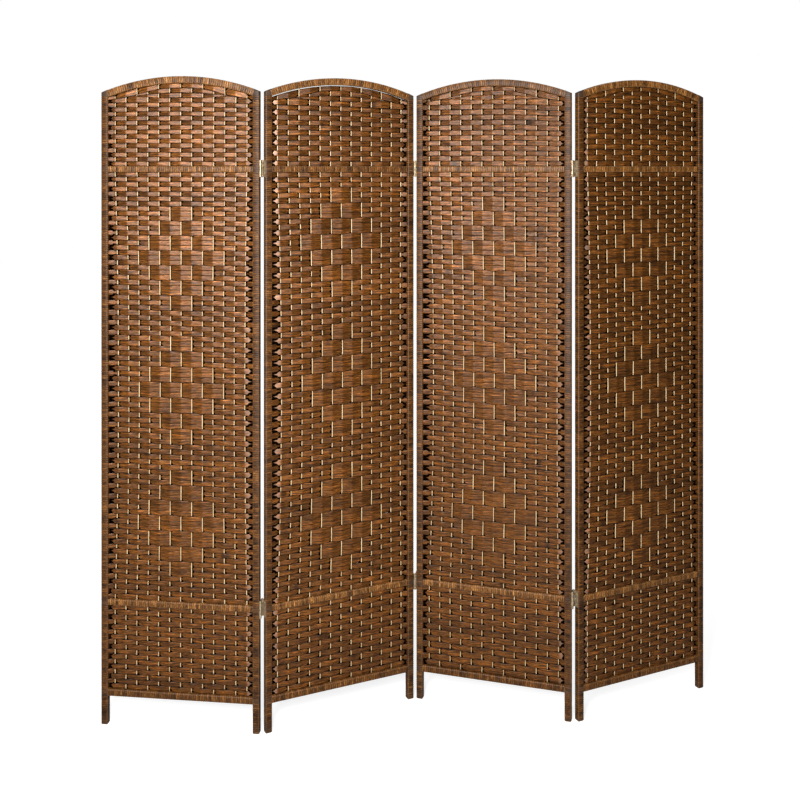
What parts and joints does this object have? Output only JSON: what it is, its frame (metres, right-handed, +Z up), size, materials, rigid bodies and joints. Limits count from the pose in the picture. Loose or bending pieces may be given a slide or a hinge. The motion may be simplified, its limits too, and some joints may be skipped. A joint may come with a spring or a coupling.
{
  "type": "folding room divider",
  "caption": "Free-standing folding screen of arched wooden frames wrapped in fibre, filled with diamond-patterned woven fibre and joined edge to edge by two-way metal hinges.",
  "frame": {"origin": "on the floor, under the middle of the screen's bounding box as it stands in its zig-zag", "axes": "+Z up, -Y towards the front, the panels run along +X"},
  "size_m": [1.7338, 0.278, 1.8],
  "materials": {
    "frame_wood": "satin",
    "fibre_wrap": "satin",
    "fibre_weave": "satin",
    "stake_wood": "satin",
    "hinge_brass": "satin",
    "screw_brass": "satin"
  },
  "bodies": {
    "panel_1": {"panel_1_bottom_rail": "frame_wood", "panel_1_frame_wraps": "fibre_wrap", "panel_1_hinge_screws": "screw_brass", "panel_1_left_stile": "frame_wood", "panel_1_lower_rail": "frame_wood", "panel_1_right_stile": "frame_wood", "panel_1_stakes": "stake_wood", "panel_1_top_rail": "frame_wood", "panel_1_upper_rail": "frame_wood", "panel_1_weave_bottom": "fibre_weave", "panel_1_weave_middle": "fibre_weave", "panel_1_weave_top": "fibre_weave", "hinge_12_left_leaves": "hinge_brass"},
    "panel_2": {"panel_2_bottom_rail": "frame_wood", "panel_2_frame_wraps": "fibre_wrap", "panel_2_hinge_screws": "screw_brass", "panel_2_left_stile": "frame_wood", "panel_2_lower_rail": "frame_wood", "panel_2_right_stile": "frame_wood", "panel_2_stakes": "stake_wood", "panel_2_top_rail": "frame_wood", "panel_2_upper_rail": "frame_wood", "panel_2_weave_bottom": "fibre_weave", "panel_2_weave_middle": "fibre_weave", "panel_2_weave_top": "fibre_weave", "hinge_12_right_leaves": "hinge_brass", "hinge_23_left_leaves": "hinge_brass"},
    "panel_3": {"panel_3_bottom_rail": "frame_wood", "panel_3_frame_wraps": "fibre_wrap", "panel_3_hinge_screws": "screw_brass", "panel_3_left_stile": "frame_wood", "panel_3_lower_rail": "frame_wood", "panel_3_right_stile": "frame_wood", "panel_3_stakes": "stake_wood", "panel_3_top_rail": "frame_wood", "panel_3_upper_rail": "frame_wood", "panel_3_weave_bottom": "fibre_weave", "panel_3_weave_middle": "fibre_weave", "panel_3_weave_top": "fibre_weave", "hinge_23_right_leaves": "hinge_brass", "hinge_34_left_leaves": "hinge_brass"},
    "panel_4": {"panel_4_bottom_rail": "frame_wood", "panel_4_frame_wraps": "fibre_wrap", "panel_4_hinge_screws": "screw_brass", "panel_4_left_stile": "frame_wood", "panel_4_lower_rail": "frame_wood", "panel_4_right_stile": "frame_wood", "panel_4_stakes": "stake_wood", "panel_4_top_rail": "frame_wood", "panel_4_upper_rail": "frame_wood", "panel_4_weave_bottom": "fibre_weave", "panel_4_weave_middle": "fibre_weave", "panel_4_weave_top": "fibre_weave", "hinge_34_right_leaves": "hinge_brass"},
    "link_12": {"hinge_12_links": "hinge_brass", "hinge_12_pins": "hinge_brass"},
    "link_23": {"hinge_23_links": "hinge_brass", "hinge_23_pins": "hinge_brass"},
    "link_34": {"hinge_34_links": "hinge_brass", "hinge_34_pins": "hinge_brass"}
  },
  "joints": [
    {"name": "fold_back_12", "type": "hinge", "parent": "panel_2", "child": "link_12", "pos_m": [-0.41456, -0.11598, 0.9435], "axis": [0, 0, -1], "range_deg": [-31.9, 148.1]},
    {"name": "fold_front_12", "type": "hinge", "parent": "link_12", "child": "panel_1", "pos_m": [-0.41691, -0.13584, 0.9435], "axis": [0, 0, 1], "range_deg": [0, 180]},
    {"name": "fold_front_23", "type": "hinge", "parent": "panel_2", "child": "link_23", "pos_m": [0.00758, 0.06021, 0.9435], "axis": [0, 0, -1], "range_deg": [-42.24, 137.76]},
    {"name": "fold_back_23", "type": "hinge", "parent": "link_23", "child": "panel_3", "pos_m": [0.01346, 0.07933, 0.9435], "axis": [0, 0, 1], "range_deg": [0, 180]},
    {"name": "fold_front_34", "type": "hinge", "parent": "panel_3", "child": "link_34", "pos_m": [0.44443, -0.07401, 0.9435], "axis": [0, 0, -1], "range_deg": [0, 180]},
    {"name": "fold_back_34", "type": "hinge", "parent": "link_34", "child": "panel_4", "pos_m": [0.4503, -0.05489, 0.9435], "axis": [0, 0, 1], "range_deg": [-42.61, 137.39]}
  ]
}
